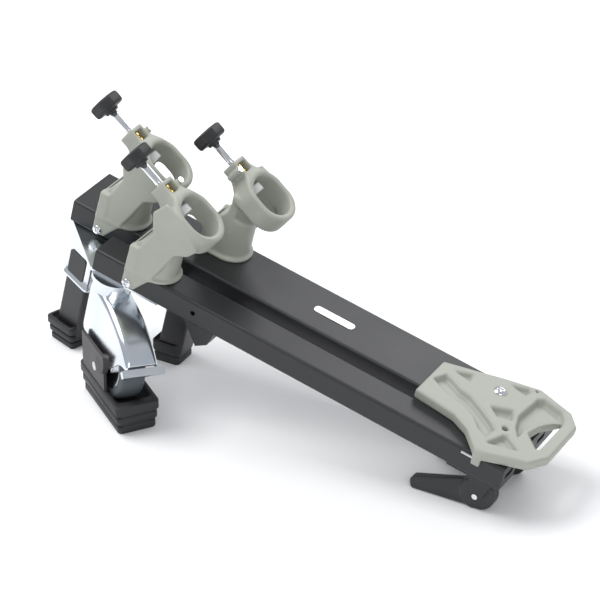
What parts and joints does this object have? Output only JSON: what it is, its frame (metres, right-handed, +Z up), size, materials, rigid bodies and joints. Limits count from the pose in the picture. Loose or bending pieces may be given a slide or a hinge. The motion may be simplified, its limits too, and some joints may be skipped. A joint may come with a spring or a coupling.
{
  "type": "bench clamping jig",
  "caption": "Sloping two-beam bench jig with thumbscrew ring clamps, a booted caster leg, a telescopic leg, cam levers and a pocketed handle plate.",
  "frame": {"origin": "centre of the rear leg foot's sole, on the floor", "axes": "+Z up, floor at Z = 0; +X along the beams towards the handle plate and the cam levers; +Y across the deck towards the rear beam"},
  "size_m": [0.6046, 0.1899, 0.3127],
  "materials": {
    "powder_coat": "satin black powder coat",
    "grey_green_moulding": "fine satin moulding",
    "brass": "turned",
    "zinc_plate": "bright zinc plate",
    "rubber": "matt",
    "tyre": "satin grey polyurethane",
    "pad_plastic": "satin",
    "badge_white": "satin",
    "chrome": "polished",
    "label_silver": "satin, bare",
    "black_plastic": "satin"
  },
  "bodies": {
    "deck": {"front_beam": "powder_coat", "rear_beam": "powder_coat", "front_cap_left": "black_plastic", "front_cap_right": "black_plastic", "rear_cap_left": "black_plastic", "rear_cap_right": "black_plastic", "leg_bridge": "zinc_plate", "lever_bridge": "powder_coat", "bridge_screws": "chrome", "deck_label": "label_silver", "handle_plate": "grey_green_moulding", "plate_screw": "chrome", "index_pin": "chrome", "clamp_body_a": "grey_green_moulding", "clamp_body_b": "grey_green_moulding", "clamp_body_c": "grey_green_moulding", "clamp_nut_a": "brass", "clamp_nut_b": "brass", "clamp_nut_c": "brass", "nut_set_screws": "chrome", "foot_screws": "chrome", "lever_brackets": "powder_coat", "lever_pins": "chrome", "caster_head": "zinc_plate", "leg_head": "zinc_plate", "leg_housing": "zinc_plate", "housing_label": "black_plastic", "lock_pin": "chrome", "rear_leg": "powder_coat", "rear_leg_foot": "rubber", "stop_block": "powder_coat"},
    "carriage_a": {"pad_a": "pad_plastic"},
    "clamp_screw_a": {"spindle_a": "chrome", "knob_a": "black_plastic"},
    "carriage_b": {"pad_b": "pad_plastic"},
    "clamp_screw_b": {"spindle_b": "chrome", "knob_b": "black_plastic"},
    "carriage_c": {"pad_c": "pad_plastic"},
    "clamp_screw_c": {"spindle_c": "chrome", "knob_c": "black_plastic"},
    "lever_front": {"cam_lever_front": "black_plastic"},
    "lever_rear": {"cam_lever_rear": "black_plastic"},
    "caster": {"fork": "zinc_plate", "fork_label": "label_silver", "fork_bumper": "zinc_plate", "wheel_axle": "chrome", "side_cover": "black_plastic", "cover_badge": "badge_white", "caster_boot": "rubber"},
    "wheel": {"wheel_hub": "zinc_plate", "tyre": "tyre"},
    "inner_leg": {"leg_tube": "powder_coat", "leg_boot": "rubber"},
    "lock_lever": {"lock_lever": "black_plastic"}
  },
  "joints": [
    {"name": "screw_slide_a", "type": "slide", "parent": "deck", "child": "carriage_a", "axis": [0.7604, 0, -0.6494], "range_m": [0, 0.024]},
    {"name": "screw_turn_a", "type": "hinge", "parent": "carriage_a", "child": "clamp_screw_a", "pos_m": [-0.02427, -0.031, 0.27371], "axis": [0.7604, 0, -0.6494], "range_deg": [0, 2160]},
    {"name": "screw_slide_b", "type": "slide", "parent": "deck", "child": "carriage_b", "axis": [0.7604, 0, -0.6494], "range_m": [0, 0.024]},
    {"name": "screw_turn_b", "type": "hinge", "parent": "carriage_b", "child": "clamp_screw_b", "pos_m": [0.04379, -0.083, 0.25737], "axis": [0.7604, 0, -0.6494], "range_deg": [0, 2160]},
    {"name": "screw_slide_c", "type": "slide", "parent": "deck", "child": "carriage_c", "axis": [0.7604, 0, -0.6494], "range_m": [0, 0.024]},
    {"name": "screw_turn_c", "type": "hinge", "parent": "carriage_c", "child": "clamp_screw_c", "pos_m": [0.07588, 0.001, 0.24967], "axis": [0.7604, 0, -0.6494], "range_deg": [0, 2160]},
    {"name": "lever_front_hinge", "type": "hinge", "parent": "deck", "child": "lever_front", "pos_m": [0.40437, -0.0845, 0.018], "axis": [0, 1, 0], "range_deg": [-100, 6]},
    {"name": "lever_rear_hinge", "type": "hinge", "parent": "deck", "child": "lever_rear", "pos_m": [0.40437, -0.015, 0.018], "axis": [0, 1, 0], "range_deg": [-100, 6]},
    {"name": "caster_swivel", "type": "hinge", "parent": "deck", "child": "caster", "pos_m": [-0.01516, -0.0845, 0.1296], "axis": [0.2334, 0, 0.9724], "range_deg": [-100, 50]},
    {"name": "wheel_spin", "type": "hinge", "parent": "caster", "child": "wheel", "pos_m": [0.00965, -0.11318, 0.0575], "axis": [0.5577, 0.8192, -0.1339], "continuous": true},
    {"name": "leg_slide", "type": "slide", "parent": "deck", "child": "inner_leg", "axis": [-0.2334, 0, -0.9724], "range_m": [0, 0.03]},
    {"name": "lock_lever_hinge", "type": "hinge", "parent": "deck", "child": "lock_lever", "pos_m": [-0.10738, -0.01595, 0.09827], "axis": [0.9137, -0.342, -0.2194], "range_deg": [-80, 0]}
  ],
  "couplings": [
    {"joint": "screw_slide_a", "follows": "screw_turn_a", "m_per_rad": 0.00063662},
    {"joint": "screw_slide_b", "follows": "screw_turn_b", "m_per_rad": 0.00063662},
    {"joint": "screw_slide_c", "follows": "screw_turn_c", "m_per_rad": 0.00063662}
  ]
}
